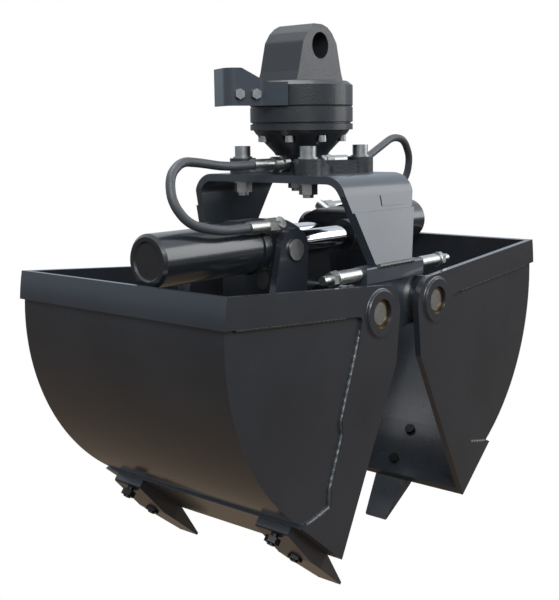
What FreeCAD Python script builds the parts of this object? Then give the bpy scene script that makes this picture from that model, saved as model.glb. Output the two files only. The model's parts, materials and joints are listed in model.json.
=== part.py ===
"""Hydraulic clamshell bucket with its rotator: a parametric FreeCAD document, exported one STEP file per piece.

Frame: origin at the centre of the upper link bore, +Z up, Y along the link bore and the shell hinges,
X across the jaws. The left shell is on the -X side. The document shows the jaws part open.
Each shell is drawn in its own frame: closed, with the hinge axis at the origin and the shell towards -X.
"""

import FreeCAD, Part
import math
import os

from FreeCAD import Placement, Rotation, Vector

SIZES = [
    ("shell_width", 500, "over the rim bands, along the hinges"),
    ("hinge_offset", 91, "hinge axis to the middle plane of the bucket"),
    ("hinge_drop", 475, "link bore down to the hinge axes"),
    ("open_angle", 27.2, "how far each shell stands open in this document, degrees"),
    ("back_radius", 391, "outside of the curved back plate, about the hinge"),
    ("sheet_wall", 6, "back and side plates"),
    ("doubler_wall", 6, "rim band and front plates"),
    ("rim_rise", 49, "rim line above the hinge axis, square to the rim"),
    ("rim_slope", 22.7, "slope of the rim with the jaws closed, degrees"),
    ("rim_height", 50, "width of the rim band"),
    ("nose_reach", 63, "top front corner of a side plate past the hinge, along the rim"),
    ("nose_round", 50, "radius of that corner"),
    ("front_drop", 66, "where the straight front edge starts below the hinge"),
    ("jaw_depth", 424, "lip edge below the hinge with the jaws closed"),
    ("jaw_gap", 1, "between the closed lips"),
    ("lip_slope", 12.5, "slope of the lip plate with the jaws closed, degrees"),
    ("lip_length", 137, "lip plate along its slope"),
    ("lip_wall", 14, "lip plate"),
    ("front_plate_top", 129, "width of the front plate below the hinge"),
    ("front_plate_foot", 87, "width of the front plate above the lip"),
    ("pin_radius", 20, "hinge pins"),
    ("running_clearance", 0.05, "radial, between a pin or shaft and its bore"),
    ("bush_wall", 6, "hinge bushes"),
    ("boss_radius", 44, "hinge boss inside the side plate"),
    ("boss_length", 22, "hinge boss inside the side plate"),
    ("boss_ring_radius", 42, "raised ring outside the front plate"),
    ("boss_ring_height", 5, "raised ring outside the front plate"),
    ("tube_radius", 30, "cross tube between the side plates"),
    ("tube_wall", 6, "cross tube"),
    ("tube_reach", 96, "cross tube from the hinge axis"),
    ("tube_angle", 203.4, "place of the cross tube about the hinge in this document, degrees"),
    ("pivot_reach", 128.8, "cylinder pivot from the hinge axis"),
    ("pivot_angle", 121.4, "place of the cylinder pivot about the hinge in this document, degrees"),
    ("lug_radius", 38, "lug plate round the cylinder pivot"),
    ("lug_wall", 14, "lug plates"),
    ("lug_inside", 98, "inner face of a lug plate from the middle plane"),
    ("trunnion_radius", 15, "trunnion pins of the cylinder heads"),
    ("cylinder_spread", 48, "cylinder axes from the middle plane"),
    ("cylinder_rise", 114, "cylinder axes above the hinge axes"),
    ("barrel_radius", 45, "cylinder barrels"),
    ("bore_radius", 37.5, "cylinder bores"),
    ("rod_radius", 20, "piston rods"),
    ("barrel_end", 452, "closed end of a barrel from the middle plane"),
    ("head_outer", 200, "outer face of a cylinder head from the middle plane"),
    ("head_inner", 112, "inner face of a cylinder head from the middle plane"),
    ("head_half_width", 88, "half width of a cylinder head"),
    ("head_top", 158, "top of a cylinder head above the hinge axes"),
    ("head_foot", 74, "underside of a cylinder head above the hinge axes"),
    ("piston_length", 28, "pistons"),
    ("piston_place", 292, "outer face of a piston from the middle plane"),
    ("gland_depth", 34, "gland in a cylinder head"),
    ("rod_boss_length", 46, "boss that a rod screws into"),
    ("saddle_wall", 14, "bent saddle plate"),
    ("saddle_drop", 238, "link bore down to the top face of the saddle"),
    ("saddle_half_width", 107, "half width of the saddle, across the jaws"),
    ("saddle_bend", 45, "outer bend radius of the saddle"),
    ("leg_splay", 12, "lean of the saddle legs, degrees"),
    ("taper_drop", 32, "where the legs start to taper, below the top face"),
    ("leg_foot_half_width", 57, "half width of a leg at its foot"),
    ("leg_plate_drop", 64, "top of the lapped leg plates below the top face"),
    ("leg_plate_wall", 5, "lapped leg plates"),
    ("crossbar_setback", 45, "middle of a crossbar from the side of the bucket"),
    ("crossbar_depth", 32, "crossbars, along the hinges"),
    ("crossbar_top", 77, "top of the crossbars above the hinge axes"),
    ("cheek_radius", 46, "hinge cheek round a pin"),
    ("cheek_wall", 24, "hinge cheeks"),
    ("cheek_setback", 64, "inner face of a hinge cheek from the side of the bucket"),
    ("stop_rise", 66, "stop bolts above the hinge axes"),
    ("stop_reach", 199, "end of a stop bolt from the middle"),
    ("stop_bolt_radius", 8, "stop bolts"),
    ("stop_sleeve_radius", 12, "sleeves on the stop bolts"),
    ("bolt_spacing", 161.4, "flange bolts, square pattern"),
    ("bolt_radius", 10, "flange bolts, M20"),
    ("flange_wall", 30, "rotor flange at its bolt lugs"),
    ("shaft_radius", 39, "rotor shaft"),
    ("drum_radius", 98.5, "rotator housing"),
    ("drum_top", 65, "top of the rotator drum below the link bore"),
    ("drum_seam", 112, "joint between the two housings below the link bore"),
    ("drum_foot", 156, "underside of the rotator drum below the link bore"),
    ("cone_foot", 204, "bottom of the rotator cone below the link bore"),
    ("cone_radius", 50, "bottom of the rotator cone"),
    ("link_bore", 24.5, "radius of the upper link bore"),
    ("link_width", 94, "upper link lug, along its bore"),
    ("link_head", 40, "lug above the centre of the link bore"),
    ("hose_radius", 8, "hydraulic hoses"),
    ("tooth_width", 73, "teeth at the heel"),
    ("tooth_length", 219, "teeth"),
    ("tooth_depth", 28.6, "teeth at their deepest"),
    ("outer_tooth_setback", 67, "teeth of the left shell from the side of the bucket"),
    ("inner_tooth_place", 70, "teeth of the right shell from the middle plane"),
]

doc = FreeCAD.newDocument("ClamshellBucket")
sheet = doc.addObject("Spreadsheet::Sheet", "Sizes")
for row, (alias, value, note) in enumerate(SIZES, 1):
    sheet.set(f"A{row}", alias)
    sheet.set(f"B{row}", str(value))
    sheet.setAlias(f"B{row}", alias)
    sheet.set(f"C{row}", note)
doc.recompute()


class Values:
    """The sheet's values, by alias, for the sizes that are worked out in code."""


v = Values()
for alias, _, _ in SIZES:
    setattr(v, alias, float(sheet.get(alias)))

NODES = []
X_AXIS, Y_AXIS, Z_AXIS = Vector(1, 0, 0), Vector(0, 1, 0), Vector(0, 0, 1)
HALF_TURN = Placement(Vector(), Rotation(Z_AXIS, 180))
HINGE_LEVEL = Vector(0, 0, -v.hinge_drop)
AT_HINGE_LEVEL = Placement(HINGE_LEVEL, Rotation())


# ---- helpers -------------------------------------------------------------------------------------


def keep(obj, label):
    """Mark an object as a finished piece; its label names its file."""
    obj.Label = label
    NODES.append(obj)
    return obj


def corner_arc(before, corner, after, radius):
    """The tangent points and middle of the arc that rounds a corner of a flat outline."""
    a, b = (before - corner).normalize(), (after - corner).normalize()
    half = a.getAngle(b) / 2
    back = radius / math.tan(half)
    bisector = (a + b).normalize()
    centre = corner + bisector * (radius / math.sin(half))
    return corner + a * back, centre - bisector * radius, corner + b * back


def outline(points):
    """Edges of a closed flat outline.

    A point is (x, y), or (x, y, r) for a corner rounded to radius r, or ("via", x, y) for the
    middle of an arc between the points beside it.
    """
    corners = [Vector(p[0], p[1], 0) if p[0] != "via" else None for p in points]
    count = len(points)
    starts, ends, edges = {}, {}, []
    for i, p in enumerate(points):
        if corners[i] is None:
            continue
        starts[i] = ends[i] = corners[i]
        if len(p) == 3 and p[2] > 0:
            entry, middle, leave = corner_arc(corners[i - 1], corners[i], corners[(i + 1) % count], p[2])
            edges.append(Part.Arc(entry, middle, leave))
            ends[i], starts[i] = entry, leave
    for i, p in enumerate(points):
        if corners[i] is None:
            first, last = (i - 1) % count, (i + 1) % count
            edges.append(Part.Arc(starts[first], Vector(p[1], p[2], 0), ends[last]))
        elif corners[(i + 1) % count] is not None:
            edges.append(Part.LineSegment(starts[i], ends[(i + 1) % count]))
    return edges


def sketch_in(body, name, role, edges, offset=0):
    """A sketch on one of the body's own origin planes, moved along that plane's normal."""
    plane = next(f for f in body.Origin.OriginFeatures if f.Role == role)
    sketch = body.newObject("Sketcher::SketchObject", name)
    sketch.AttachmentSupport = [(plane, "")]
    sketch.MapMode = "FlatFace"
    sketch.AttachmentOffset = Placement(Vector(0, 0, offset), Rotation())
    sketch.addGeometry(edges, False)
    return sketch


def padded(name, role, points, length, offset=0, holes=()):
    """A body with one pad of an outline; length is a number or an expression."""
    body = doc.addObject("PartDesign::Body", name)
    edges = outline(points)
    for x, y, radius in holes:
        edges.append(Part.Circle(Vector(x, y, 0), Z_AXIS, radius))
    sketch = sketch_in(body, name + "Sketch", role, edges, offset)
    pad = body.newObject("PartDesign::Pad", name + "Pad")
    pad.Profile = sketch
    if isinstance(length, str):
        pad.setExpression("Length", length)
    else:
        pad.Length = length
    return body


def plate_y(name, points, y_low, y_high, holes=()):
    """A plate drawn in X and Z that fills y_low to y_high. The XZ plane's normal is -Y."""
    return padded(name, "XZ_Plane", points, y_high - y_low, -y_high, holes)


def turned(name, points, axis="V_Axis"):
    """A body of revolution; the outline is drawn in the XZ plane and turned about Z or X."""
    body = doc.addObject("PartDesign::Body", name)
    sketch = sketch_in(body, name + "Sketch", "XZ_Plane", outline(points))
    turn = body.newObject("PartDesign::Revolution", name + "Turn")
    turn.Profile = sketch
    turn.ReferenceAxis = (sketch, [axis])
    turn.Angle = 360
    return body


def rod(name, radius, height, base, direction=Z_AXIS):
    """A Part::Cylinder whose radius and height are expressions or numbers."""
    cylinder = doc.addObject("Part::Cylinder", name)
    for prop, value in (("Radius", radius), ("Height", height)):
        if isinstance(value, str):
            cylinder.setExpression(prop, value)
        else:
            setattr(cylinder, prop, value)
    cylinder.Placement = Placement(base, Rotation(Z_AXIS, direction))
    return cylinder


def hexagon(name, across, height, base, direction=Z_AXIS):
    """A hexagonal prism, across its flats."""
    prism = doc.addObject("Part::Prism", name)
    prism.Polygon = 6
    prism.Circumradius = across / math.sqrt(3)
    prism.Height = height
    prism.Placement = Placement(base, Rotation(Z_AXIS, direction))
    return prism


def cut(name, base, *tools):
    """The base without the tools."""
    tool = tools[0] if len(tools) == 1 else fused(name + "Tools", *tools)
    result = doc.addObject("Part::Cut", name)
    result.Base, result.Tool = base, tool
    return result


def common(name, first, second):
    result = doc.addObject("Part::Common", name)
    result.Base, result.Tool = first, second
    return result


def fused(name, *shapes):
    result = doc.addObject("Part::MultiFuse", name)
    result.Shapes = list(shapes)
    result.Refine = True
    return result


def group(name, *members):
    """Separate solids in one node."""
    result = doc.addObject("Part::Compound", name)
    result.Links = list(members)
    return result


def tube(name, outer, inner, height, base, direction=Z_AXIS):
    return cut(
        name,
        rod(name + "Outer", outer, height, base, direction),
        rod(name + "Bore", inner, height, base, direction),
    )


# ---- shell geometry, in the shell's own closed frame ----------------------------------------------

slope = math.radians(v.rim_slope)
RIM_ALONG = Vector(math.cos(slope), math.sin(slope), 0)
RIM_UP = Vector(-math.sin(slope), math.cos(slope), 0)
lip_angle = math.radians(v.lip_slope)
LIP_BACK = Vector(-math.cos(lip_angle), math.sin(lip_angle), 0)
LIP_IN = Vector(math.sin(lip_angle), math.cos(lip_angle), 0)
FRONT_X = v.hinge_offset - v.jaw_gap / 2
LIP_EDGE = Vector(FRONT_X, -v.jaw_depth, 0)
LIP_END = LIP_EDGE + LIP_BACK * v.lip_length
INNER_RADIUS = v.back_radius - v.sheet_wall
BAND_RADIUS = v.back_radius + v.doubler_wall
HALF_WIDTH = v.shell_width / 2
PLATE_OUT = HALF_WIDTH - v.doubler_wall
PLATE_IN = PLATE_OUT - v.sheet_wall
CROSSBAR_Y = HALF_WIDTH - v.crossbar_setback
CHEEK_IN = HALF_WIDTH - v.cheek_setback
SADDLE_TOP = v.hinge_drop - v.saddle_drop


def rim_point(along, below=0.0):
    """A point of the rim line, measured along it from the foot of its normal."""
    return RIM_UP * (v.rim_rise - below) + RIM_ALONG * along


def on_rim(radius, below=0.0):
    """Where a circle about the hinge meets the rim line or a line below it, at the back."""
    height = v.rim_rise - below
    return rim_point(-math.sqrt(radius**2 - height**2), below)


def on_lip_end(radius):
    """Where a circle about the hinge meets the plane of the lip plate's back end."""
    distance = LIP_END.dot(LIP_BACK)
    return LIP_BACK * distance - LIP_IN * math.sqrt(radius**2 - distance**2)


def on_back(radius, degrees):
    """A point of the back at an angle from +X."""
    return Vector(radius * math.cos(math.radians(degrees)), radius * math.sin(math.radians(degrees)), 0)


def xy(point, radius=0):
    return (point.x, point.y, radius) if radius else (point.x, point.y)


def via(point):
    return ("via", point.x, point.y)


def closed_frame(reach, degrees):
    """A place given about the hinge in this document, in the shell's closed frame."""
    return on_back(reach, degrees + v.open_angle)


NOSE = rim_point(v.nose_reach)
FRONT_TOP = Vector(FRONT_X, -v.front_drop, 0)
LOW_BACK = 235
PIVOT = closed_frame(v.pivot_reach, v.pivot_angle)
TUBE = closed_frame(v.tube_reach, v.tube_angle)
BOSS_HOLE = v.boss_ring_radius - 6


def shell_place(side):
    """Placement of the shell on side -1 (left) or +1 (right) in this document."""
    left = Placement(Vector(-v.hinge_offset, 0, -v.hinge_drop), Rotation(Y_AXIS, v.open_angle))
    return left if side < 0 else HALF_TURN.multiply(left)


def both_sides(name, build):
    """Two like solids, mirrored about the middle plane, in one node."""
    return group(name, build(name + "Near", -1), build(name + "Far", 1))


def span(inner, outer, y_side):
    """The y range of a plate on the near (-1) or far (+1) side."""
    return (inner, outer) if y_side > 0 else (-outer, -inner)


def back_plate(name):
    points = [
        xy(on_rim(INNER_RADIUS)),
        xy(on_rim(v.back_radius)),
        via(on_back(v.back_radius, LOW_BACK)),
        xy(on_lip_end(v.back_radius)),
        xy(on_lip_end(INNER_RADIUS)),
        via(on_back(INNER_RADIUS, LOW_BACK)),
    ]
    return plate_y(name, points, -PLATE_OUT, PLATE_OUT)


def side_plate(name, y_side):
    points = [
        xy(on_rim(INNER_RADIUS)),
        via(on_back(INNER_RADIUS, LOW_BACK)),
        xy(on_lip_end(INNER_RADIUS)),
        xy(LIP_END),
        xy(LIP_EDGE),
        xy(FRONT_TOP),
        xy(NOSE, v.nose_round),
    ]
    return plate_y(name, points, *span(PLATE_IN, PLATE_OUT, y_side), holes=[(0, 0, BOSS_HOLE)])


def front_plate(name, y_side):
    """The doubler down the front edge, from the rim round the hinge to the lip."""
    inner_top = FRONT_X - v.front_plate_top
    inner_foot = FRONT_X - v.front_plate_foot
    jog = v.front_plate_top - 111
    joint = -98
    points = [
        xy(rim_point(joint)),
        xy(rim_point(joint, v.rim_height)),
        (inner_top - 8, -22, 9),
        (inner_top + 6, -86),
        (inner_top + jog, -205, 8),
        (inner_top + jog + 13, -223, 8),
        (inner_foot, LIP_END.y + 76, 10),
        (inner_foot + 14, LIP_END.y + 46, 10),
        xy(LIP_END + LIP_IN * 9 - LIP_BACK * 4, 6),
        xy(LIP_END),
        xy(LIP_EDGE),
        xy(FRONT_TOP),
        xy(NOSE, v.nose_round),
    ]
    return plate_y(name, points, *span(PLATE_OUT, HALF_WIDTH, y_side), holes=[(0, 0, BOSS_HOLE)])


def rim_band(name):
    """The strip round the back and down both sides to the front plates."""
    joint = -98
    band = [
        xy(rim_point(joint)),
        xy(on_rim(BAND_RADIUS)),
        via(on_back(BAND_RADIUS, 199)),
        xy(on_rim(BAND_RADIUS, v.rim_height)),
        xy(rim_point(joint, v.rim_height)),
    ]
    inside = [
        xy(rim_point(joint + 1, -1)),
        xy(on_rim(v.back_radius, -1)),
        via(on_back(v.back_radius, 199)),
        xy(on_rim(v.back_radius, v.rim_height + 1)),
        xy(rim_point(joint + 1, v.rim_height + 1)),
    ]
    return cut(
        name,
        plate_y(name + "Outer", band, -HALF_WIDTH, HALF_WIDTH),
        plate_y(name + "Inner", inside, -PLATE_OUT, PLATE_OUT),
    )


def lip_plate(name):
    points = [
        xy(LIP_EDGE),
        xy(LIP_END),
        xy(LIP_END + LIP_IN * v.lip_wall),
        xy(LIP_EDGE + LIP_IN * v.lip_wall - LIP_BACK * (v.lip_wall * math.tan(lip_angle))),
    ]
    points[3] = (FRONT_X, (LIP_EDGE + LIP_IN * (v.lip_wall / math.cos(lip_angle) ** 2)).y
                 - v.lip_wall * math.tan(lip_angle) ** 2)
    return plate_y(name, points, -PLATE_IN, PLATE_IN)


def hinge_boss(name, y_side):
    """A stepped sleeve: wide inside, as wide as its hole in the plates, and a raised ring outside."""
    bore = v.pin_radius + v.running_clearance + v.bush_wall
    inner = PLATE_IN - v.boss_length
    outer = HALF_WIDTH + v.boss_ring_height
    points = [
        (bore, inner),
        (v.boss_radius, inner),
        (v.boss_radius, PLATE_IN),
        (BOSS_HOLE, PLATE_IN),
        (BOSS_HOLE, HALF_WIDTH),
        (v.boss_ring_radius, HALF_WIDTH),
        (v.boss_ring_radius, outer - 2),
        (v.boss_ring_radius - 2, outer),
        (bore, outer),
    ]
    body = turned(name, points)
    body.Placement = Placement(Vector(), Rotation(X_AXIS, -90 * y_side))
    return body


def hinge_bush(name, y_side):
    bore = v.pin_radius + v.running_clearance
    inner = PLATE_IN - v.boss_length
    length = HALF_WIDTH - inner
    return tube(name, bore + v.bush_wall, bore, length, Vector(0, y_side * inner, 0), Y_AXIS * y_side)


def cross_tube(name):
    base = Vector(TUBE.x, -PLATE_IN, TUBE.y)
    return tube(name, "Sizes.tube_radius", "Sizes.tube_radius - Sizes.tube_wall", 2 * PLATE_IN, base, Y_AXIS)


def lug_plate(name, y_side):
    """A plate that stands on the cross tube and carries a trunnion pin of the cylinder head."""
    line = PIVOT - TUBE
    across = Vector(-line.y, line.x, 0).normalize()
    along = Vector(line.x, line.y, 0).normalize()
    foot = v.tube_radius + 16
    top = PIVOT + along * v.lug_radius
    points = [
        xy(TUBE + across * foot - along * foot, foot * 0.9),
        xy(TUBE - across * foot - along * foot, foot * 0.9),
        xy(TUBE - across * foot + along * foot, 40),
        xy(PIVOT - across * v.lug_radius, 60),
        xy(top - across * v.lug_radius, v.lug_radius * 0.98),
        xy(top + across * v.lug_radius, v.lug_radius * 0.98),
        xy(PIVOT + across * v.lug_radius, 60),
        xy(TUBE + across * foot + along * foot, 40),
    ]
    holes = [(PIVOT.x, PIVOT.y, v.trunnion_radius + v.running_clearance), (TUBE.x, TUBE.y, v.tube_radius)]
    return plate_y(name, points, *span(v.lug_inside, v.lug_inside + v.lug_wall, y_side), holes=holes)


def tooth_point(along, depth):
    """A point of a tooth's profile: along the lip from the heel, and out from the lip's outer face."""
    return LIP_END - LIP_BACK * (along + 6) - LIP_IN * depth


def tooth(name, y_middle):
    """A forged wedge: parallel under the lip, tapering in width to its point."""
    lip_end = v.lip_length - 6
    profile = [
        xy(tooth_point(0, 0.2)),
        xy(tooth_point(0, 15), 5),
        xy(tooth_point(92, v.tooth_depth), 12),
        xy(tooth_point(v.tooth_length, 27)),
        xy(tooth_point(v.tooth_length, 23)),
        xy(tooth_point(lip_end, 0.2)),
    ]
    half = v.tooth_width / 2
    slab = plate_y(name + "Slab", profile, y_middle - half, y_middle + half)
    blade = Placement(
        Vector(LIP_END.x, y_middle, LIP_END.y),
        Rotation(Vector(-LIP_BACK.x, 0, -LIP_BACK.y), Y_AXIS, Vector(), "XYZ"),
    )
    plan = padded(
        name + "Plan",
        "XY_Plane",
        [
            (0, -half, 8),
            (lip_end, -half),
            (v.tooth_length + 8, -half * 0.7, 6),
            (v.tooth_length + 8, half * 0.7, 6),
            (lip_end, half),
            (0, half, 8),
        ],
        80,
        -60,
    )
    plan.Placement = blade
    return common(name, slab, plan)


def bolt_places(y_middle):
    """The two bolts that hold a tooth, as points on the lip's inner face."""
    for back in (37, 116):
        foot = LIP_EDGE + LIP_BACK * back + LIP_IN * v.lip_wall
        yield Vector(foot.x, y_middle, foot.y)


def tooth_bolt_set(name, y_middle):
    """Round heads inside the lip, shanks through lip and tooth, and nuts under the tooth."""
    inward = Vector(LIP_IN.x, 0, LIP_IN.y)
    parts = []
    for i, place in enumerate(bolt_places(y_middle)):
        head = rod(f"{name}Head{i}", 11, 7, place, inward)
        shank = rod(f"{name}Shank{i}", 7, v.lip_wall + 36, place - inward * (v.lip_wall + 36), inward)
        nut = hexagon(f"{name}Nut{i}", 24, 11, place - inward * (v.lip_wall + 33), inward)
        parts.append(fused(f"{name}Bolt{i}", head, shank, nut))
    return parts


def build_shell(side):
    prefix = "left" if side < 0 else "right"
    place = shell_place(side)
    teeth_at = HALF_WIDTH - v.outer_tooth_setback if side < 0 else v.inner_tooth_place
    bolts = tooth_bolt_set(prefix + "ToothBoltNear", -teeth_at) + tooth_bolt_set(prefix + "ToothBoltFar", teeth_at)
    drills = []
    for i, y_middle in enumerate((-teeth_at, teeth_at)):
        inward = Vector(LIP_IN.x, 0, LIP_IN.y)
        for j, spot in enumerate(bolt_places(y_middle)):
            drills.append(rod(f"{prefix}Drill{i}{j}", 7, 90, spot - inward * 75, inward))
            drills.append(hexagon(f"{prefix}Pocket{i}{j}", 26, 40, spot - inward * (v.lip_wall + 22 + 40), inward))
    drill_set = fused(prefix + "ToothDrills", *drills)
    lip_drills = [
        rod(f"{prefix}LipDrill{i}", 7, 90, spot - Vector(LIP_IN.x, 0, LIP_IN.y) * 45, Vector(LIP_IN.x, 0, LIP_IN.y))
        for i, spot in enumerate([p for y in (-teeth_at, teeth_at) for p in bolt_places(y)])
    ]
    teeth = group(prefix + "ToothBlanks", tooth(prefix + "ToothNear", -teeth_at), tooth(prefix + "ToothFar", teeth_at))
    pieces = {
        "back_plate": back_plate(prefix + "Back"),
        "side_plates": both_sides(prefix + "Side", side_plate),
        "front_plates": both_sides(prefix + "Front", front_plate),
        "rim_band": rim_band(prefix + "Rim"),
        "lip_plate": cut(prefix + "Lip", lip_plate(prefix + "LipBlank"), *lip_drills),
        "hinge_bosses": both_sides(prefix + "Boss", hinge_boss),
        "hinge_bushes": both_sides(prefix + "Bush", hinge_bush),
        "cross_tube": cross_tube(prefix + "Tube"),
        "lug_plates": both_sides(prefix + "Lug", lug_plate),
        "teeth": cut(prefix + "Teeth", teeth, drill_set),
        "tooth_bolts": group(prefix + "ToothBolts", *bolts),
    }
    for name, piece in pieces.items():
        piece.Placement = place.multiply(piece.Placement)
        keep(piece, f"{prefix}_{name}")


# ---- cylinders, drawn for the left side and turned half round for the right ------------------------

PORT_X = -v.head_outer + 14
PORT_Y = -80
PORT_Z = v.head_top - 12
HUB_PORT_Z = SADDLE_TOP + 20
HOSE_START = Vector(-160, -14, HUB_PORT_Z)
HOSE_END = Vector(-262, -95, v.cylinder_rise + 41)

BARREL_Y = -v.cylinder_spread
ROD_Y = v.cylinder_spread
PIVOT_X = -v.hinge_offset + v.pivot_reach * math.cos(math.radians(v.pivot_angle))
TRUNNION_DEPTH = 18
PIVOT_Z = v.pivot_reach * math.sin(math.radians(v.pivot_angle))


def cylinder_head(name):
    """The casting that holds a barrel, lets its rod through and carries the other cylinder's rod end."""
    half = v.head_half_width
    section = [
        (-half, v.head_foot, 8),
        (-half, v.head_top - 16, 8),
        (-v.cylinder_spread - 10, v.head_top, 6),
        (18, v.head_top, 6),
        (36, v.head_top - 12, 6),
        (half, v.head_top - 12, 12),
        (half, v.head_foot, 8),
    ]
    block = padded(name + "Block", "YZ_Plane", section, "Sizes.head_outer - Sizes.head_inner", -v.head_outer)
    middle_z = (v.head_top + v.head_foot) / 2
    side = plate_y(
        name + "SideView",
        [
            (-v.head_outer, v.head_foot, 14),
            (-v.head_outer, v.head_top + 1),
            (-v.head_inner, v.head_top + 1, 14),
            (-v.head_inner, v.head_foot, 26),
        ],
        -half - 1,
        half + 1,
    )
    body = common(name + "Body", block, side)
    rod_boss = rod(
        name + "RodBoss",
        30,
        "Sizes.rod_boss_length",
        Vector(-v.head_inner, ROD_Y, v.cylinder_rise),
        X_AXIS,
    )
    casting = fused(name + "Casting", body, rod_boss)
    bore_floor = -v.head_inner - v.gland_depth
    bore = rod(
        name + "Bore", "Sizes.bore_radius", v.head_outer + bore_floor + 1,
        Vector(-v.head_outer - 1, BARREL_Y, v.cylinder_rise), X_AXIS,
    )
    passage = rod(
        name + "Passage", v.rod_radius + v.running_clearance, v.head_outer,
        Vector(-v.head_outer, BARREL_Y, v.cylinder_rise), X_AXIS,
    )
    rod_seat = rod(
        name + "RodSeat", v.rod_radius, v.rod_boss_length + 41,
        Vector(-v.head_inner - 40, ROD_Y, v.cylinder_rise), X_AXIS,
    )
    trunnions = [
        rod(name + "TrunnionSeat" + str(i), v.trunnion_radius, TRUNNION_DEPTH + 1, Vector(PIVOT_X, s * (half + 1), PIVOT_Z), Y_AXIS * -s)
        for i, s in enumerate((-1, 1))
    ]
    port = Vector(PORT_X, HOSE_END.y, HOSE_END.z) - Vector(PORT_X, PORT_Y, PORT_Z)
    port_seat = rod(name + "PortSeat", 11, 22, Vector(PORT_X, PORT_Y, PORT_Z) - port.normalize() * 2, port)
    return cut(name, casting, bore, passage, rod_seat, port_seat, *trunnions)


def barrel(name):
    start = Vector(-v.barrel_end + 14, BARREL_Y, v.cylinder_rise)
    return tube(
        name, "Sizes.barrel_radius", "Sizes.bore_radius", v.barrel_end - 14 - v.head_outer, start, X_AXIS
    )


def barrel_cap(name):
    """The welded end cap, with a bevelled rim and a shallow recess."""
    end = -v.barrel_end
    r = v.barrel_radius
    points = [
        (end + 3, 0),
        (end + 3, r - 15),
        (end, r - 12),
        (end, r - 5),
        (end + 5, r),
        (end + 14, r),
        (end + 14, 0),
    ]
    body = turned(name, points, "H_Axis")
    body.Placement = Placement(Vector(0, BARREL_Y, v.cylinder_rise), Rotation())
    return body


def barrel_collar(name):
    start = Vector(-v.head_outer - 17, BARREL_Y, v.cylinder_rise)
    return tube(name, v.barrel_radius + 3, "Sizes.barrel_radius", 17, start, X_AXIS)


def piston_rod(name):
    """The rod fixed in this head, reaching into the opposite barrel."""
    start = -v.head_inner - 40
    end = v.piston_place
    stub = rod(name + "Stub", v.rod_radius - 6, "Sizes.piston_length", Vector(end - v.piston_length, ROD_Y,
               v.cylinder_rise), X_AXIS)
    shaft = rod(name + "Shaft", "Sizes.rod_radius", end - v.piston_length - start,
                Vector(start, ROD_Y, v.cylinder_rise), X_AXIS)
    return fused(name, shaft, stub)


def piston(name):
    start = Vector(v.piston_place - v.piston_length, ROD_Y, v.cylinder_rise)
    return tube(
        name, v.bore_radius - v.running_clearance, v.rod_radius - 6, "Sizes.piston_length", start, X_AXIS
    )


def trunnion_pins(name):
    """Stub pins from the head's sides through the lug plates, each with a flat collar outside."""
    pins = []
    inner = v.head_half_width - TRUNNION_DEPTH
    outer = v.lug_inside + v.lug_wall + 1
    for i, s in enumerate((-1, 1)):
        base = Vector(PIVOT_X, s * inner, PIVOT_Z)
        shank = rod(f"{name}Shank{i}", "Sizes.trunnion_radius", outer - inner, base, Y_AXIS * s)
        collar = rod(f"{name}Collar{i}", v.trunnion_radius + 4, 4, Vector(PIVOT_X, s * outer, PIVOT_Z), Y_AXIS * s)
        shoulder = rod(
            f"{name}Shoulder{i}", v.trunnion_radius + 8, v.lug_inside - v.head_half_width - 0.5,
            Vector(PIVOT_X, s * v.head_half_width, PIVOT_Z), Y_AXIS * s,
        )
        pins.append(fused(f"{name}Pin{i}", shank, shoulder, collar))
    return group(name, *pins)


def hose_end(name):
    """Adapter on the head's sloping shoulder, with the hose's swivel nut and ferrule."""
    tip = Vector(PORT_X, HOSE_END.y, HOSE_END.z)
    port = Vector(PORT_X, PORT_Y, PORT_Z)
    foot = port - (tip - port).normalize() * 2
    adapter = rod(name + "Adapter", 11, (tip - foot).Length + 12, foot, tip - foot)
    nut = hexagon(name + "Nut", 24, 26, Vector(tip.x - 30, HOSE_END.y, HOSE_END.z), X_AXIS)
    neck = rod(name + "Neck", 7, 30, Vector(tip.x - 30, HOSE_END.y, HOSE_END.z), X_AXIS)
    ferrule = rod(name + "Ferrule", 11, tip.x - 30 - HOSE_END.x, HOSE_END, X_AXIS)
    return fused(name, adapter, nut, neck, ferrule)


# ---- hoses: straight runs joined by tangent arcs -------------------------------------------------

LEFT_ROUTE = [
    HOSE_START,
    HOSE_START + Vector(-72, 0, 0),
    HOSE_START + Vector(-140, -6, 9),
    HOSE_START + Vector(-192, -16, 13),
    HOSE_START + Vector(-233, -30, -9),
    HOSE_END + Vector(-142, 36, 51),
    HOSE_END + Vector(-119, 21, 14),
    HOSE_END + Vector(-66, 0, 0),
    HOSE_END,
]
RIGHT_START = Vector(-HOSE_START.x, -HOSE_START.y, HOSE_START.z)
RIGHT_END = Vector(-HOSE_END.x, -HOSE_END.y, HOSE_END.z)
RIGHT_ROUTE = [
    RIGHT_START,
    RIGHT_START + Vector(68, 0, 0),
    RIGHT_START + Vector(130, 6, 23),
    RIGHT_START + Vector(193, 14, 45),
    RIGHT_START + Vector(250, 22, 38),
    RIGHT_START + Vector(291, 34, -3),
    RIGHT_END + Vector(194, -36, 54),
    RIGHT_END + Vector(166, -20, 18),
    RIGHT_END + Vector(92, 0, 0),
    RIGHT_END,
]


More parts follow.
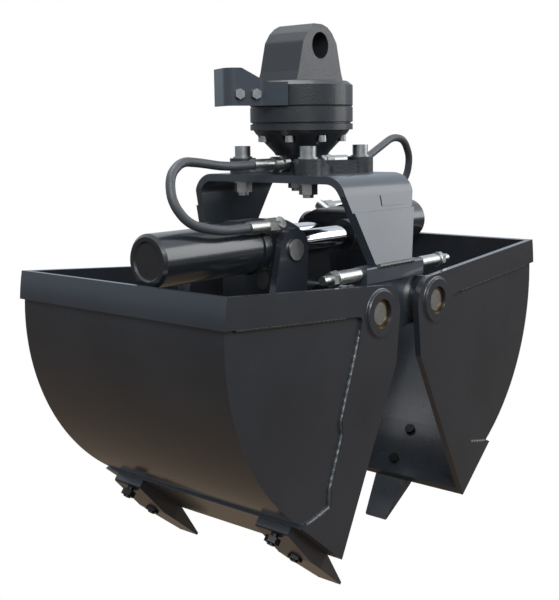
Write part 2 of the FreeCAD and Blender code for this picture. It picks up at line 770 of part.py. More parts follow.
def hose(name, route):
    """A plain tube along a route, each arc as large as its two runs allow."""
    edges, start, radii, long = [], route[0], [], 0
    for before, corner, after in zip(route, route[1:], route[2:]):
        turn = (corner - before).getAngle(after - corner)
        radius = 0.45 * min((corner - before).Length, (after - corner).Length) / math.tan(turn / 2)
        entry, middle, leave = corner_arc(before, corner, after, radius)
        edges += [Part.LineSegment(start, entry).toShape(), Part.Arc(entry, middle, leave).toShape()]
        radii.append(round(radius))
        start = leave
    edges.append(Part.LineSegment(start, route[-1]).toShape())
    path = Part.Wire(edges)
    ring = Part.Wire(Part.Circle(route[0], route[1] - route[0], v.hose_radius).toShape())
    solid = path.makePipeShell([ring], True, True)
    expected = math.pi * v.hose_radius**2 * path.Length
    print(name, "length", round(path.Length), "radii", radii, "volume ratio", round(solid.Volume / expected, 4))
    feature = doc.addObject("Part::Feature", name)
    feature.Shape = solid
    feature.Placement = AT_HINGE_LEVEL
    return feature


def build_cylinder(side):
    prefix = "left" if side < 0 else "right"
    place = AT_HINGE_LEVEL if side < 0 else AT_HINGE_LEVEL.multiply(HALF_TURN)
    pieces = {
        "cylinder_head": cylinder_head(prefix + "Head"),
        "barrel": barrel(prefix + "Barrel"),
        "barrel_cap": barrel_cap(prefix + "Cap"),
        "barrel_collar": barrel_collar(prefix + "Collar"),
        "piston_rod": piston_rod(prefix + "Rod"),
        "piston": piston(prefix + "Piston"),
        "trunnion_pins": trunnion_pins(prefix + "Trunnions"),
        "hose_end": hose_end(prefix + "HoseEnd"),
    }
    for name, piece in pieces.items():
        piece.Placement = place.multiply(piece.Placement)
        keep(piece, f"{prefix}_{name}")


# ---- saddle ---------------------------------------------------------------------------------------


def leg_y(rise, outward=0.0):
    """The far leg's outer face at a height above the hinge axes, or a face further out or in."""
    lean = math.tan(math.radians(v.leg_splay))
    foot = CROSSBAR_Y + v.saddle_wall / 2 / math.cos(math.radians(v.leg_splay))
    return foot - (rise - v.crossbar_top) * lean + outward / math.cos(math.radians(v.leg_splay))


def front_view(name):
    """What the saddle looks like from the front, through its whole depth: straight, then tapering."""
    wide, foot = v.saddle_half_width, v.leg_foot_half_width
    points = [
        (-foot, v.crossbar_top),
        (-wide, SADDLE_TOP - v.taper_drop, 30),
        (-wide, SADDLE_TOP + 1),
        (wide, SADDLE_TOP + 1),
        (wide, SADDLE_TOP - v.taper_drop, 30),
        (foot, v.crossbar_top),
    ]
    return plate_y(name, points, -300, 300)


def saddle_strap():
    low = v.crossbar_top
    inner_top = SADDLE_TOP - v.saddle_wall
    wall = v.saddle_wall
    points = [
        (-leg_y(low), low),
        (-leg_y(SADDLE_TOP), SADDLE_TOP, v.saddle_bend),
        (leg_y(SADDLE_TOP), SADDLE_TOP, v.saddle_bend),
        (leg_y(low), low),
        (leg_y(low, -wall), low),
        (leg_y(inner_top, -wall), inner_top, v.saddle_bend - wall),
        (-leg_y(inner_top, -wall), inner_top, v.saddle_bend - wall),
        (-leg_y(low, -wall), low),
    ]
    bent = padded("SaddleBent", "YZ_Plane", points, "2 * Sizes.saddle_half_width", -v.saddle_half_width)
    shape = common("SaddleTapered", bent, front_view("SaddleFront"))
    half = v.bolt_spacing / 2
    holes = [
        rod(f"SaddleHole{i}", v.bolt_radius + 0.5, 60, Vector(x, y, inner_top - 20))
        for i, (x, y) in enumerate([(-half, -half), (half, -half), (half, half), (-half, half)])
    ]
    return cut("SaddleStrap", shape, *holes)


def leg_plates():
    low, high, wall = v.crossbar_top + 3, SADDLE_TOP - v.leg_plate_drop, v.leg_plate_wall
    plates = []
    for i, s in enumerate((-1, 1)):
        points = [
            (s * leg_y(low), low),
            (s * leg_y(high), high),
            (s * leg_y(high, wall), high),
            (s * leg_y(low, wall), low),
        ]
        lap = padded(f"LegPlateBlank{i}", "YZ_Plane", points, "2 * Sizes.saddle_half_width", -v.saddle_half_width)
        plates.append(common(f"LegPlate{i}", lap, front_view(f"LegPlateFront{i}")))
    return group("LegPlates", *plates)


def crossbars():
    bars = []
    height = v.crossbar_top - v.cheek_radius
    for i, s in enumerate((-1, 1)):
        points = [
            (s * CROSSBAR_Y - v.crossbar_depth / 2, v.cheek_radius, 3),
            (s * CROSSBAR_Y - v.crossbar_depth / 2, v.crossbar_top, 3),
            (s * CROSSBAR_Y + v.crossbar_depth / 2, v.crossbar_top, 3),
            (s * CROSSBAR_Y + v.crossbar_depth / 2, v.cheek_radius, 3),
        ]
        bar = padded(f"Bar{i}", "YZ_Plane", points, "2 * Sizes.hinge_offset", -v.hinge_offset)
        hole = rod(f"BarHole{i}", v.stop_bolt_radius, 2 * v.hinge_offset + 2,
                   Vector(-v.hinge_offset - 1, s * CROSSBAR_Y, v.stop_rise), X_AXIS)
        bars.append(cut(f"Crossbar{i}", bar, hole))
    return group("Crossbars", *bars)


def hinge_cheeks():
    """The plates under the crossbars that hold the hinge pins."""
    r, reach = v.cheek_radius, v.hinge_offset + v.cheek_radius
    points = [
        (-reach, -r, r * 0.98),
        (-reach, r, r * 0.98),
        (reach, r, r * 0.98),
        (reach, -r, r * 0.98),
        (40, -r, 20),
        (28, -r - 14, 8),
        (-28, -r - 14, 8),
        (-40, -r, 20),
    ]
    holes = [(-v.hinge_offset, 0, v.pin_radius), (v.hinge_offset, 0, v.pin_radius)]
    cheeks = [
        plate_y(f"Cheek{i}", points, *span(CHEEK_IN, CHEEK_IN + v.cheek_wall, s), holes=holes)
        for i, s in enumerate((-1, 1))
    ]
    return group("Cheeks", *cheeks)


CORNERS = [(-1, -1), (1, -1), (1, 1), (-1, 1)]


def hinge_pins():
    outer = HALF_WIDTH - 1
    pins = [
        rod(f"HingePin{i}", "Sizes.pin_radius", outer - CHEEK_IN,
            Vector(x * v.hinge_offset, y * CHEEK_IN, 0), Y_AXIS * y)
        for i, (x, y) in enumerate(CORNERS)
    ]
    return group("HingePins", *pins)


def thrust_washers():
    """Wear washers between the cheeks and the shells' hinge bosses."""
    gap = PLATE_IN - v.boss_length - CHEEK_IN - v.cheek_wall
    start = CHEEK_IN + v.cheek_wall
    washers = [
        tube(f"ThrustWasher{i}", v.cheek_radius - 2, v.pin_radius, gap - 0.5,
             Vector(x * v.hinge_offset, y * start, 0), Y_AXIS * y)
        for i, (x, y) in enumerate(CORNERS)
    ]
    return group("ThrustWashers", *washers)


def stop_bolts():
    """A long bolt through each crossbar, with a nut at each end."""
    parts = []
    for i, s in enumerate((-1, 1)):
        y = s * CROSSBAR_Y
        bolt = rod(f"StopBolt{i}", "Sizes.stop_bolt_radius", 2 * v.stop_reach, Vector(-v.stop_reach, y, v.stop_rise),
                   X_AXIS)
        nuts = [
            hexagon(f"StopNut{i}{j}", 24, 14, Vector(e * (v.stop_reach - 34), y, v.stop_rise), X_AXIS * e)
            for j, e in enumerate((-1, 1))
        ]
        parts.append(fused(f"StopBoltSet{i}", bolt, *nuts))
    return group("StopBolts", *parts)


def stop_sleeves():
    parts = []
    for i, (x, y) in enumerate(CORNERS):
        start = v.hinge_offset
        length = v.stop_reach - 34 - start
        base = Vector(x * start, y * CROSSBAR_Y, v.stop_rise)
        collar = rod(f"SleeveCollar{i}", v.stop_sleeve_radius - 1.5, 8, base, X_AXIS * x)
        sleeve = rod(f"Sleeve{i}", v.stop_sleeve_radius, length - 12, base + X_AXIS * (x * 8), X_AXIS * x)
        washer = rod(f"SleeveWasher{i}", v.stop_sleeve_radius + 2.5, 4, base + X_AXIS * (x * (length - 4)), X_AXIS * x)
        bore = rod(f"SleeveBore{i}", v.stop_bolt_radius, length, base, X_AXIS * x)
        parts.append(cut(f"StopSleeve{i}", fused(f"SleeveBody{i}", collar, sleeve, washer), bore))
    return group("StopSleeves", *parts)


FLANGE_TOP = SADDLE_TOP + v.flange_wall


def rotor_flange():
    """The rotor shaft with its four-armed bolting flange."""
    half = v.bolt_spacing / 2
    reach = half * math.sqrt(2)
    low = SADDLE_TOP
    hub = turned(
        "FlangeHub",
        [
            (0, low),
            (62, low),
            (62, low + 14),
            (v.shaft_radius + 8, FLANGE_TOP - 6, 8),
            (v.shaft_radius, FLANGE_TOP),
            (v.shaft_radius, v.hinge_drop - v.drum_seam - 30),
            (0, v.hinge_drop - v.drum_seam - 30),
        ],
    )
    parts = [hub]
    for i in range(2):
        arm = doc.addObject("Part::Box", f"FlangeArm{i}")
        arm.Length, arm.Width, arm.Height = 2 * reach, 46, v.flange_wall - 6
        turn = Rotation(Z_AXIS, 45 + 90 * i)
        arm.Placement = Placement(turn.multVec(Vector(-reach, -23, 0)) + Vector(0, 0, low), turn)
        parts.append(arm)
    for i, (x, y) in enumerate(CORNERS):
        parts.append(rod(f"FlangeLug{i}", 25, v.flange_wall, Vector(x * half, y * half, low)))
    holes = [
        rod(f"FlangeHole{i}", v.bolt_radius + 0.5, v.flange_wall + 2, Vector(x * half, y * half, low - 1))
        for i, (x, y) in enumerate(CORNERS)
    ]
    for i, (s, start) in enumerate(((-1, LEFT_ROUTE[0]), (1, RIGHT_ROUTE[0]))):
        holes.append(rod(f"HubPort{i}", 8, 40, Vector(s * 56, start.y, start.z), X_AXIS * s))
    return cut("RotorFlange", fused("FlangeBody", *parts), *holes)


def flange_fasteners():
    """Cap screws with washers on the flange, and washers and nuts under the saddle plate."""
    half = v.bolt_spacing / 2
    under = SADDLE_TOP - v.saddle_wall
    bolts, washers, nuts = [], [], []
    for i, (x, y) in enumerate(CORNERS):
        spot = Vector(x * half, y * half, 0)
        head = rod(f"CapHead{i}", 15, 20, spot + Z_AXIS * (FLANGE_TOP + 3))
        socket = hexagon(f"CapSocket{i}", 17, 11, spot + Z_AXIS * (FLANGE_TOP + 13))
        length = FLANGE_TOP + 3 - under + 27
        shank = rod(f"CapShank{i}", "Sizes.bolt_radius", length, spot + Z_AXIS * (FLANGE_TOP + 3 - length))
        bolts.append(cut(f"CapScrew{i}", fused(f"CapBody{i}", head, shank), socket))
        washers.append(tube(f"WasherTop{i}", 18.5, v.bolt_radius + 0.5, 3, spot + Z_AXIS * FLANGE_TOP))
        washers.append(tube(f"WasherUnder{i}", 18.5, v.bolt_radius + 0.5, 3, spot + Z_AXIS * (under - 3)))
        nut = hexagon(f"NutBody{i}", 30, 18, spot + Z_AXIS * (under - 21))
        thread = rod(f"NutHole{i}", v.bolt_radius, 20, spot + Z_AXIS * (under - 22))
        nuts.append(cut(f"FlangeNut{i}", nut, thread))
    return group("FlangeBolts", *bolts), group("FlangeWashers", *washers), group("FlangeNuts", *nuts)


def hub_fittings():
    """The two hose tails that leave the rotor hub."""
    fittings = []
    for i, (s, start) in enumerate(((-1, LEFT_ROUTE[0]), (1, RIGHT_ROUTE[0]))):
        y, z = start.y, start.z
        stem = rod(f"HubStem{i}", 8, 64, Vector(s * 56, y, z), X_AXIS * s)
        adapter = hexagon(f"HubAdapter{i}", 27, 14, Vector(s * 66, y, z), X_AXIS * s)
        nut = hexagon(f"HubNut{i}", 24, 20, Vector(s * 86, y, z), X_AXIS * s)
        ferrule = rod(f"HubFerrule{i}", 11, abs(start.x) - 110, Vector(s * 110, y, z), X_AXIS * s)
        fittings.append(fused(f"HubFitting{i}", stem, adapter, nut, ferrule))
    return group("HubFittings", *fittings)


def build_saddle():
    bolts, washers, nuts = flange_fasteners()
    pieces = {
        "rotor_flange": rotor_flange(),
        "flange_bolts": bolts,
        "flange_washers": washers,
        "flange_nuts": nuts,
        "saddle_strap": saddle_strap(),
        "leg_plates": leg_plates(),
        "crossbars": crossbars(),
        "hinge_cheeks": hinge_cheeks(),
        "hinge_pins": hinge_pins(),
        "thrust_washers": thrust_washers(),
        "stop_bolts": stop_bolts(),
        "stop_sleeves": stop_sleeves(),
        "hub_fittings": hub_fittings(),
    }
    for name, piece in pieces.items():
        piece.Placement = AT_HINGE_LEVEL.multiply(piece.Placement)
        keep(piece, name)
    keep(hose("LeftHose", LEFT_ROUTE), "left_hose")
    keep(hose("RightHose", RIGHT_ROUTE), "right_hose")


# ---- rotator housing, drawn with the link bore at the origin ---------------------------------------


def link_housing():
    """The upper casting: a drum with the link lug on top."""
    r = v.drum_radius
    drum = turned(
        "UpperDrum",
        [
            (0, -v.drum_seam),
            (r - 2, -v.drum_seam),
            (r, -v.drum_seam + 2),
            (r, -v.drum_top - 8),
            (r - 10, -v.drum_top, 6),
            (0, -v.drum_top),
        ],
    )
    head, foot = v.link_head, -v.drum_top - 4
    lug = plate_y(
        "LinkLugBlank",
        [
            (-72, foot),
            (-64, -48, 12),
            (-50, 6, 16),
            (-36, 24, 14),
            (-14, head, 12),
            (14, head, 12),
            (36, 24, 14),
            (50, 6, 16),
            (64, -48, 12),
            (72, foot),
        ],
        -v.link_width / 2,
        v.link_width / 2,
    )
    side = padded(
        "LinkLugSide",
        "YZ_Plane",
        [
            (-v.link_width / 2 - 10, foot),
            (-v.link_width / 2, -44, 20),
            (-v.link_width / 2, head - 6),
            (-v.link_width / 2 + 8, head + 1),
            (v.link_width / 2 - 8, head + 1),
            (v.link_width / 2, head - 6),
            (v.link_width / 2, -44, 20),
            (v.link_width / 2 + 10, foot),
        ],
        200,
        -100,
    )
    casting = fused("LinkCasting", drum, common("LinkLug", lug, side))
    bore = rod("LinkBore", "Sizes.link_bore", "Sizes.link_width + 2", Vector(0, -v.link_width / 2 - 1, 0), Y_AXIS)
    port = rod("PortSeat", 9, 20, outward(v.drum_radius - 8, 0, PORT_RISE), PORT_TURN.multVec(X_AXIS))
    return cut("LinkHousing", casting, bore, port)


def stator_housing():
    """The lower casting: a drum, a thin rim and a cone with bolt pockets, bored for the rotor shaft."""
    r = v.drum_radius
    body = turned(
        "StatorBody",
        [
            (v.shaft_radius + v.running_clearance, -v.cone_foot),
            (v.cone_radius, -v.cone_foot),
            (v.cone_radius + 4, -v.cone_foot + 6),
            (r - 10, -v.drum_foot - 6, 10),
            (r - 6, -v.drum_foot),
            (r, -v.drum_foot),
            (r, -v.drum_foot + 11),
            (r - 4, -v.drum_foot + 12),
            (r - 4, -v.drum_foot + 14),
            (r, -v.drum_foot + 15),
            (r, -v.drum_seam - 2),
            (r - 2, -v.drum_seam),
            (0, -v.drum_seam),
            (0, -v.drum_seam - 28),
            (v.shaft_radius + v.running_clearance, -v.drum_seam - 28),
        ],
    )
    pockets = []
    for i in range(COVER_BOLTS):
        pockets.append(rod(f"StatorPocket{i}", 12, 40, pocket_spot(i) - Z_AXIS * 40))
    return cut("Stator", body, *pockets)


COVER_BOLTS = 8


def pocket_spot(i):
    """The floor of a bolt pocket in the cone."""
    angle = math.radians(360 / COVER_BOLTS * (i + 0.5))
    return Vector(80 * math.cos(angle), 80 * math.sin(angle), -v.drum_foot - 10)


def cover_bolts():
    heads = [
        rod(f"CoverBolt{i}", 8, 12, pocket_spot(i) - Z_AXIS * 12)
        for i in range(COVER_BOLTS)
    ]
    return group("CoverBolts", *heads)


PORT_TURN = Rotation(Z_AXIS, 152)
PORT_RISE = -v.drum_top - 22


def outward(distance, across, rise):
    """A point beside the drum: outward along the port, across it towards the front, and up."""
    return PORT_TURN.multVec(Vector(distance, across, 0)) + Z_AXIS * rise


def port_fittings():
    """Hex unions out of the housing, with an elbow that carries a capped nipple."""
    along = PORT_TURN.multVec(X_AXIS)
    rise = PORT_RISE
    reach = v.drum_radius
    stem = rod("PortStem", 9, 56, outward(reach - 8, 0, rise), along)
    union = hexagon("PortUnion", 27, 18, outward(reach, 0, rise), along)
    nut = hexagon("PortNut", 24, 16, outward(reach + 22, 0, rise), along)
    elbow = rod("PortElbow", 11, 26, outward(reach + 46, 0, rise - 13))
    neck = rod("PortNeck", 7, 40, outward(reach + 46, 0, rise))
    cap = hexagon("PortCap", 22, 16, outward(reach + 46, 0, rise + 22))
    return fused("PortFittings", stem, union, nut, elbow, neck, cap)


GUARD_WALL = 5
GUARD_LOW, GUARD_HIGH = -v.drum_top - 46, -v.drum_top - 4
GUARD_MIDDLE = (GUARD_LOW + GUARD_HIGH) / 2
GUARD_BOLTS = (v.drum_radius + 14, v.drum_radius + 46)


def hose_guard():
    """A bent plate bolted to the housing that shields the fittings, with a slanted top."""
    near = 52
    reach = v.drum_radius
    points = [
        (62, near + 34),
        (reach + 2, near, 14),
        (reach + 70, near, 20),
        (reach + 70, near - 74, 4),
        (reach + 70 - GUARD_WALL, near - 74, 4),
        (reach + 70 - GUARD_WALL, near - GUARD_WALL, 15),
        (reach, near - GUARD_WALL, 9),
        (62, near + 34 - GUARD_WALL),
    ]
    strip = padded("GuardStrip", "XY_Plane", points, GUARD_HIGH - GUARD_LOW + 26, GUARD_LOW)
    profile = [
        (0, GUARD_LOW),
        (reach + 71, GUARD_LOW),
        (reach + 71, GUARD_HIGH + 26),
        (reach + 40, GUARD_HIGH + 26, 10),
        (reach - 10, GUARD_HIGH, 10),
        (0, GUARD_HIGH),
    ]
    side = plate_y("GuardSide", profile, -100, 200)
    plate = common("Guard", strip, side)
    drum = rod("GuardRelief", v.drum_radius, 200, Vector(0, 0, -200))
    holes = [
        rod(f"GuardHole{i}", 5, 40, Vector(distance, 30, GUARD_MIDDLE), Y_AXIS)
        for i, distance in enumerate(GUARD_BOLTS)
    ]
    shaped = cut("HoseGuard", plate, drum, *holes)
    shaped.Placement = Placement(Vector(), PORT_TURN)
    return shaped


def guard_bolts():
    front = PORT_TURN.multVec(Y_AXIS)
    bolts = []
    for i, distance in enumerate(GUARD_BOLTS):
        spot = outward(distance, 52, GUARD_MIDDLE)
        head = hexagon(f"GuardHead{i}", 17, 8, spot, front)
        shank = rod(f"GuardShank{i}", 5, 12, spot - front * 12, front)
        bolts.append(fused(f"GuardBolt{i}", head, shank))
    return group("GuardBolts", *bolts)


def build_rotator():
    keep(link_housing(), "link_housing")
    keep(stator_housing(), "stator_housing")
    keep(cover_bolts(), "cover_bolts")
    keep(port_fittings(), "port_fittings")
    keep(hose_guard(), "hose_guard")
    keep(guard_bolts(), "guard_bolts")


# ---- build, check and export ----------------------------------------------------------------------

build_rotator()
build_saddle()
for side in (-1, 1):
    build_shell(side)
    build_cylinder(side)
doc.recompute()

failed = [o.Name for o in doc.Objects if "Invalid" in o.State or "Error" in o.State]
if failed:
    raise RuntimeError(f"these objects failed: {failed}")
for piece in NODES:
    if piece.Shape.isNull() or not piece.Shape.isValid() or not piece.Shape.Solids:
        raise RuntimeError(f"{piece.Label} is not a valid solid")

os.makedirs("parts", exist_ok=True)
for piece in NODES:
    piece.Shape.exportStep(f"parts/{piece.Label}.step")
print(len(NODES), "pieces,", sum(len(p.Shape.Solids) for p in NODES), "solids")
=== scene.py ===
"""Looks for the clamshell bucket: procedural paints and metals, weld beads, softened edges and stage."""

import json
import math

import bpy
from mathutils import Matrix, Vector


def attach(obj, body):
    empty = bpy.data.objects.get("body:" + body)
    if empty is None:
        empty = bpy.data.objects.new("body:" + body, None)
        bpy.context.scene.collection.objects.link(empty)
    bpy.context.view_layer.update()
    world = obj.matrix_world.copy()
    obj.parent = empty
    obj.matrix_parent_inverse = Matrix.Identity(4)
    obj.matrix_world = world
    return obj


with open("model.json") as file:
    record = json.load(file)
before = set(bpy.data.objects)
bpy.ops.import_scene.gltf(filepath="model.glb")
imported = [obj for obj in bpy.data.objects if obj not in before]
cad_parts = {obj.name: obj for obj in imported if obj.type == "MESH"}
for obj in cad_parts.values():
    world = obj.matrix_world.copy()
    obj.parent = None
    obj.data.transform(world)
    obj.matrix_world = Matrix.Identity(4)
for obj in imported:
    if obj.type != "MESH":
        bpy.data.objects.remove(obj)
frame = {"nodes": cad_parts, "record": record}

bl_info = {
    "name": "Clamshell bucket looks",
    "version": (1, 0, 0),
    "blender": (4, 5, 0),
    "location": "View3D > Sidebar > Bucket",
    "description": "Builds the finishes, weld beads and studio of a clamshell bucket",
    "category": "Object",
}

HINGE_X, HINGE_Z = 0.091, -0.475
OPEN = math.radians(27.2)
STORE = {}


def linear(code):
    """An sRGB hex colour as linear RGBA."""
    parts = [int(code[i:i + 2], 16) / 255 for i in (0, 2, 4)]
    return [p / 12.92 if p <= 0.04045 else ((p + 0.055) / 1.055) ** 2.4 for p in parts] + [1.0]


def add(tree, kind, **inputs):
    """Adds a node; named inputs are values, or sockets to link from."""
    node = tree.nodes.new(kind)
    for name, value in inputs.items():
        socket = node.inputs[name.replace("_", " ")]
        if isinstance(value, bpy.types.NodeSocket):
            tree.links.new(value, socket)
        else:
            socket.default_value = value
    return node


def surface(name, dark, light, rough, metallic=0.0, coat=0.0, grain_mm=40.0, bump_mm=3.0, bump=0.1, dust=None):
    """A coated or bare metal: two tones in slow patches, roughness that varies, and a fine bump."""
    material = bpy.data.materials.new(name)
    material.use_nodes = True
    tree = material.node_tree
    shader = tree.nodes["Principled BSDF"]
    where = add(tree, "ShaderNodeTexCoord").outputs["Object"]
    patches = add(tree, "ShaderNodeTexNoise", Vector=where, Scale=1000 / grain_mm, Detail=4.0)
    fine = add(tree, "ShaderNodeTexNoise", Vector=where, Scale=1000 / bump_mm, Detail=3.0)
    tone = add(tree, "ShaderNodeMix")
    tone.data_type = "RGBA"
    tree.links.new(patches.outputs["Fac"], tone.inputs[0])
    tone.inputs[6].default_value = linear(dark)
    tone.inputs[7].default_value = linear(light)
    colour = tone.outputs[2]
    if dust:
        spots = add(tree, "ShaderNodeTexNoise", Vector=where, Scale=1000 / 14, Detail=8.0, Roughness=0.7)
        mask = add(tree, "ShaderNodeMapRange", Value=spots.outputs["Fac"])
        mask.inputs["From Min"].default_value = 0.6
        mask.inputs["From Max"].default_value = 0.72
        worn = add(tree, "ShaderNodeMix")
        worn.data_type = "RGBA"
        tree.links.new(mask.outputs["Result"], worn.inputs[0])
        tree.links.new(colour, worn.inputs[6])
        worn.inputs[7].default_value = linear(dust)
        colour = worn.outputs[2]
    tree.links.new(colour, shader.inputs["Base Color"])
    gloss = add(tree, "ShaderNodeMapRange", Value=patches.outputs["Fac"])
    gloss.inputs["To Min"].default_value = rough * 0.8
    gloss.inputs["To Max"].default_value = min(1.0, rough * 1.25)
    tree.links.new(gloss.outputs["Result"], shader.inputs["Roughness"])
    shader.inputs["Metallic"].default_value = metallic
    shader.inputs["Coat Weight"].default_value = coat
    shader.inputs["Coat Roughness"].default_value = 0.12
    relief = add(tree, "ShaderNodeBump", Height=fine.outputs["Fac"], Strength=bump, Distance=0.001)
    tree.links.new(relief.outputs["Normal"], shader.inputs["Normal"])
    return material


def make_materials():
    STORE.update(
        # satin two-pack paint over rolled plate
        shell_paint=surface("shell_paint", "1d2126", "2a2e34", 0.27, coat=0.5, grain_mm=160, bump_mm=5, bump=0.06),
        saddle_paint=surface("saddle_paint", "2a3036", "363d45", 0.34, coat=0.4, grain_mm=90, bump_mm=4, bump=0.08),
        # black paint over rough castings
        housing_paint=surface("housing_paint", "14171a", "23272b", 0.42, coat=0.2, grain_mm=25, bump_mm=3, bump=0.5),
        cast_paint=surface("cast_paint", "15171a", "282c30", 0.45, coat=0.2, grain_mm=20, bump_mm=4, bump=0.9,
                           dust="4a4a48"),
        cylinder_paint=surface("cylinder_paint", "14171a", "202428", 0.25, coat=0.5, grain_mm=70, bump_mm=3, bump=0.08),
        rod_chrome=surface("rod_chrome", "c4c8cc", "dfe2e5", 0.09, metallic=1.0, grain_mm=60, bump_mm=1, bump=0.02),
        zinc_steel=surface("zinc_steel", "9a9c9a", "c2c3c0", 0.32, metallic=1.0, grain_mm=8, bump_mm=1, bump=0.15),
        bush_brass=surface("bush_brass", "5a4a2c", "6f5c38", 0.4, metallic=1.0, grain_mm=10, bump_mm=1, bump=0.1),
        hose_rubber=surface("hose_rubber", "33363a", "42464a", 0.45, grain_mm=30, bump_mm=1.2, bump=0.3),
        # weld beads in a lighter, more metallic grey than the paint: a painted highlight standing for the bright beads
        weld=surface("weld", "3a3d40", "6a6b68", 0.3, metallic=0.6, grain_mm=6, bump_mm=4, bump=0.9),
        # blackened screws
        black_oxide=surface("black_oxide", "0c0d0e", "17191b", 0.35, metallic=0.5, grain_mm=8, bump_mm=1, bump=0.1),
    )


def give(obj, material):
    obj.data.materials.clear()
    obj.data.materials.append(STORE[material])


def only(obj):
    bpy.ops.object.select_all(action="DESELECT")
    obj.select_set(True)
    bpy.context.view_layer.objects.active = obj


def shell_point(side, x, y, z):
    """A place in a shell's closed frame (mm, hinge at the origin, left shell) as a place in the row frame (m)."""
    turned = Matrix.Rotation(OPEN, 4, "Y") @ Vector((x, 0, z))
    place = Vector((turned.x / 1000 - HINGE_X, y / 1000, turned.z / 1000 + HINGE_Z))
    return place if side < 0 else Vector((-place.x, -place.y, place.z))


def bead(name, points, width_mm, body, material="weld", cyclic=False):
    """A weld bead: a bevelled path along the given points, rippled where the caller passes rippled points."""
    bpy.ops.curve.primitive_nurbs_path_add(location=(0, 0, 0))
    curve = bpy.context.object
    curve.name = name
    curve.data.splines.clear()
    spline = curve.data.splines.new("POLY")
    spline.points.add(len(points) - 1)
    for p, place in zip(spline.points, points):
        p.co = (*place, 1)
    spline.use_cyclic_u = cyclic
    curve.data.bevel_depth = width_mm / 2000
    curve.data.bevel_resolution = 2
    curve.data.use_fill_caps = True
    only(curve)
    bpy.ops.object.convert(target="MESH")
    obj = bpy.context.object
    only(obj)
    bpy.ops.object.shade_smooth()
    give(obj, material)
    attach(obj, body)
    return obj


def ripple(points, step_mm=4.0, swing_mm=0.7):
    """Points closely spaced along a line, with the small uneven swing of a hand-laid weld."""
    out = []
    for a, b in zip(points, points[1:]):
        count = max(1, int((b - a).length * 1000 / step_mm))
        for i in range(count):
            k = len(out)
            wave = Vector((math.sin(k * 1.7), 0, math.cos(k * 2.3))) * (swing_mm / 1000)
            out.append(a.lerp(b, i / count) + wave)
    out.append(points[-1])
    return out


class BUCKET_PG_sizes(bpy.types.PropertyGroup):
    """Sizes of the dressed details."""

    edge_round: bpy.props.FloatProperty(
        name="Edge round", description="Softened edge of plates and castings", default=0.0012, unit="LENGTH")
    bead_width: bpy.props.FloatProperty(
        name="Bead width", description="Width of a weld bead, millimetres", default=8.0, unit="NONE")


class BUCKET_OT_finishes(bpy.types.Operator):
    """Paint every CAD piece and soften the edges of all but the hoses"""

    bl_idname = "bucket.finishes"
    bl_label = "Finishes"

    def execute(self, context):
        make_materials()
        slots = {s["node"]: s["material_slot"] for s in frame["record"]["subparts"]}
        for node, obj in frame["nodes"].items():
            name = slots.get(node, "shell_paint")
            if node.endswith("cylinder_head") or node == "rotor_flange":
                name = "cast_paint"
            if node.endswith("tooth_bolts"):
                name = "black_oxide"
            give(obj, name)
            if node.endswith("hose"):
                continue
            bevel = obj.modifiers.new("Softened edges", "BEVEL")
            bevel.width = context.scene.bucket_sizes.edge_round
            bevel.segments = 2
            bevel.limit_method = "ANGLE"
            bevel.angle_limit = math.radians(40)
            bevel.harden_normals = True
        return {"FINISHED"}


class BUCKET_OT_welds(bpy.types.Operator):
    """Lay the weld beads along the front plates, rim bands, hinge rings and crossbars"""

    bl_idname = "bucket.welds"
    bl_label = "Weld beads"

    def execute(self, context):
        width = context.scene.bucket_sizes.bead_width
        front = [(-72, -24), (-40, -23), (-33, -86), (-19, -203), (-6, -222), (3, -318), (16, -346), (-33, -386)]
        slope = math.radians(22.7)
        up = Vector((-math.sin(slope), 0, math.cos(slope)))
        along = Vector((math.cos(slope), 0, math.sin(slope)))
        for side, shell in ((-1, "left"), (1, "right")):
            body = f"{shell}_shell"
            for y, end in ((-245, "near"), (245, "far")):
                line = [shell_point(side, x, y, z) for x, z in front]
                # front beads take the weld material, whose lighter grey is a painted highlight
                bead(f"{shell}_front_weld_{end}", ripple(line), width, body)
                low = [up * (-2.5) + along * k for k in (-98, -200, -300, -370)]
                line = [shell_point(side, p.x, y, p.z) for p in low]
                bead(f"{shell}_rim_weld_{end}", ripple(line), width * 0.8, body, "shell_paint")
                ring = [
                    shell_point(side, 43 * math.cos(a), math.copysign(249.5, y), 43 * math.sin(a))
                    for a in (math.radians(d) for d in range(0, 360, 10))
                ]
                bead(f"{shell}_ring_weld_{end}", ring, width * 0.6, body, "shell_paint", True)
        for y, end in ((-0.221, "near"), (0.221, "far")):
            line = [Vector((x / 1000, y, HINGE_Z + 0.077)) for x in (-56, -20, 20, 56)]
            bead(f"crossbar_weld_{end}", ripple(line), width, "saddle")
        return {"FINISHED"}


class BUCKET_OT_plate(bpy.types.Operator):
    """Set the bare plate on the near saddle leg"""

    bl_idname = "bucket.plate"
    bl_label = "Bare plate"

    def execute(self, context):
        bpy.ops.mesh.primitive_cube_add(size=1)
        plate = bpy.context.object
        plate.name = "bare_plate"
        plate.scale = (0.075, 0.001, 0.02)
        lean = math.radians(12)
        plate.rotation_euler = (-lean, 0, 0)
        plate.location = (0.035, -(0.2124 - (0.190 - 0.077) * math.tan(lean) + 0.0006), HINGE_Z + 0.190)
        bpy.ops.object.transform_apply(location=True, rotation=True, scale=True)
        give(plate, "saddle_paint")
        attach(plate, "saddle")
        return {"FINISHED"}


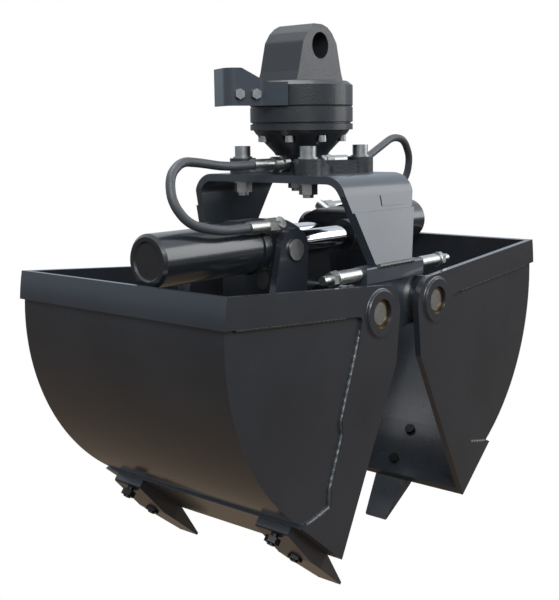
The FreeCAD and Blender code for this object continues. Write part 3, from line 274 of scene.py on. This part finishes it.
class BUCKET_OT_stage(bpy.types.Operator):
    """Set the world background and the soft lights"""

    bl_idname = "bucket.stage"
    bl_label = "Studio"

    def execute(self, context):
        scene = context.scene
        scene.view_settings.view_transform = "Standard"
        world = bpy.data.worlds.new("Studio")
        scene.world = world
        world.use_nodes = True
        tree = world.node_tree
        back = tree.nodes["Background"]
        where = add(tree, "ShaderNodeTexCoord").outputs["Generated"]
        height = add(tree, "ShaderNodeSeparateXYZ", Vector=where).outputs["Z"]
        ramp = add(tree, "ShaderNodeValToRGB", Fac=add(tree, "ShaderNodeMapRange", Value=height, **{"From Min": -1.0})
                   .outputs["Result"])
        stops = ramp.color_ramp.elements
        stops[0].position, stops[0].color = 0.0, linear("8a7a68")
        stops[1].position, stops[1].color = 1.0, linear("f4f8ff")
        for place, code in ((0.47, "6a6058"), (0.52, "aebccb"), (0.7, "dfe8f2")):
            stop = stops.new(place)
            stop.color = linear(code)
        rays = add(tree, "ShaderNodeLightPath").outputs["Is Camera Ray"]
        mix = add(tree, "ShaderNodeMix")
        mix.data_type = "RGBA"
        tree.links.new(rays, mix.inputs[0])
        tree.links.new(ramp.outputs["Color"], mix.inputs[6])
        mix.inputs[7].default_value = (1, 1, 1, 1)
        tree.links.new(mix.outputs[2], back.inputs["Color"])
        back.inputs["Strength"].default_value = 1.0
        for name, place, size, power in (
            ("Key", (-2.2, -2.6, 2.2), 2.0, 130),
            ("Fill", (2.6, -2.4, 1.0), 2.5, 60),
            ("Top", (0.2, 0.6, 3.0), 2.0, 60),
        ):
            light = bpy.data.lights.new(name, "AREA")
            light.size = size
            light.energy = power
            lamp = bpy.data.objects.new(name, light)
            scene.collection.objects.link(lamp)
            lamp.location = place
            aim = Vector((0, 0, -0.4)) - Vector(place)
            lamp.rotation_euler = aim.to_track_quat("-Z", "Y").to_euler()
        return {"FINISHED"}


class BUCKET_PT_panel(bpy.types.Panel):
    """Sidebar panel with one button per operator"""

    bl_label = "Clamshell bucket"
    bl_idname = "BUCKET_PT_panel"
    bl_space_type = "VIEW_3D"
    bl_region_type = "UI"
    bl_category = "Bucket"

    def draw(self, context):
        sizes = context.scene.bucket_sizes
        for prop in ("edge_round", "bead_width"):
            self.layout.prop(sizes, prop)
        for operator in (BUCKET_OT_finishes, BUCKET_OT_welds, BUCKET_OT_plate, BUCKET_OT_stage):
            self.layout.operator(operator.bl_idname)


CLASSES = (
    BUCKET_PG_sizes,
    BUCKET_OT_finishes,
    BUCKET_OT_welds,
    BUCKET_OT_plate,
    BUCKET_OT_stage,
    BUCKET_PT_panel,
)


def register():
    for cls in CLASSES:
        bpy.utils.register_class(cls)
    bpy.types.Scene.bucket_sizes = bpy.props.PointerProperty(type=BUCKET_PG_sizes)


def unregister():
    del bpy.types.Scene.bucket_sizes
    for cls in reversed(CLASSES):
        bpy.utils.unregister_class(cls)


def make_camera():
    """The camera stands where the calibrated view has it."""
    data = bpy.data.cameras.new("Camera")
    data.lens = 60.93
    data.sensor_width = 36
    camera = bpy.data.objects.new("Camera", data)
    bpy.context.scene.collection.objects.link(camera)
    place = Vector((-1.5369, -1.2557, -0.1559))
    azimuth, elevation, roll = math.radians(-49.41), math.radians(9.49), math.radians(-0.69)
    forward = Vector((-math.sin(azimuth) * math.cos(elevation), math.cos(azimuth) * math.cos(elevation),
                      -math.sin(elevation)))
    turn = forward.to_track_quat("-Z", "Y").to_matrix().to_4x4() @ Matrix.Rotation(roll, 4, "Z")
    camera.matrix_world = Matrix.Translation(place) @ turn
    bpy.context.scene.camera = camera


def main():
    make_camera()
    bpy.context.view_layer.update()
    register()
    bpy.ops.bucket.finishes()
    bpy.ops.bucket.welds()
    bpy.ops.bucket.plate()
    bpy.ops.bucket.stage()


if __name__ == "__main__":
    main()
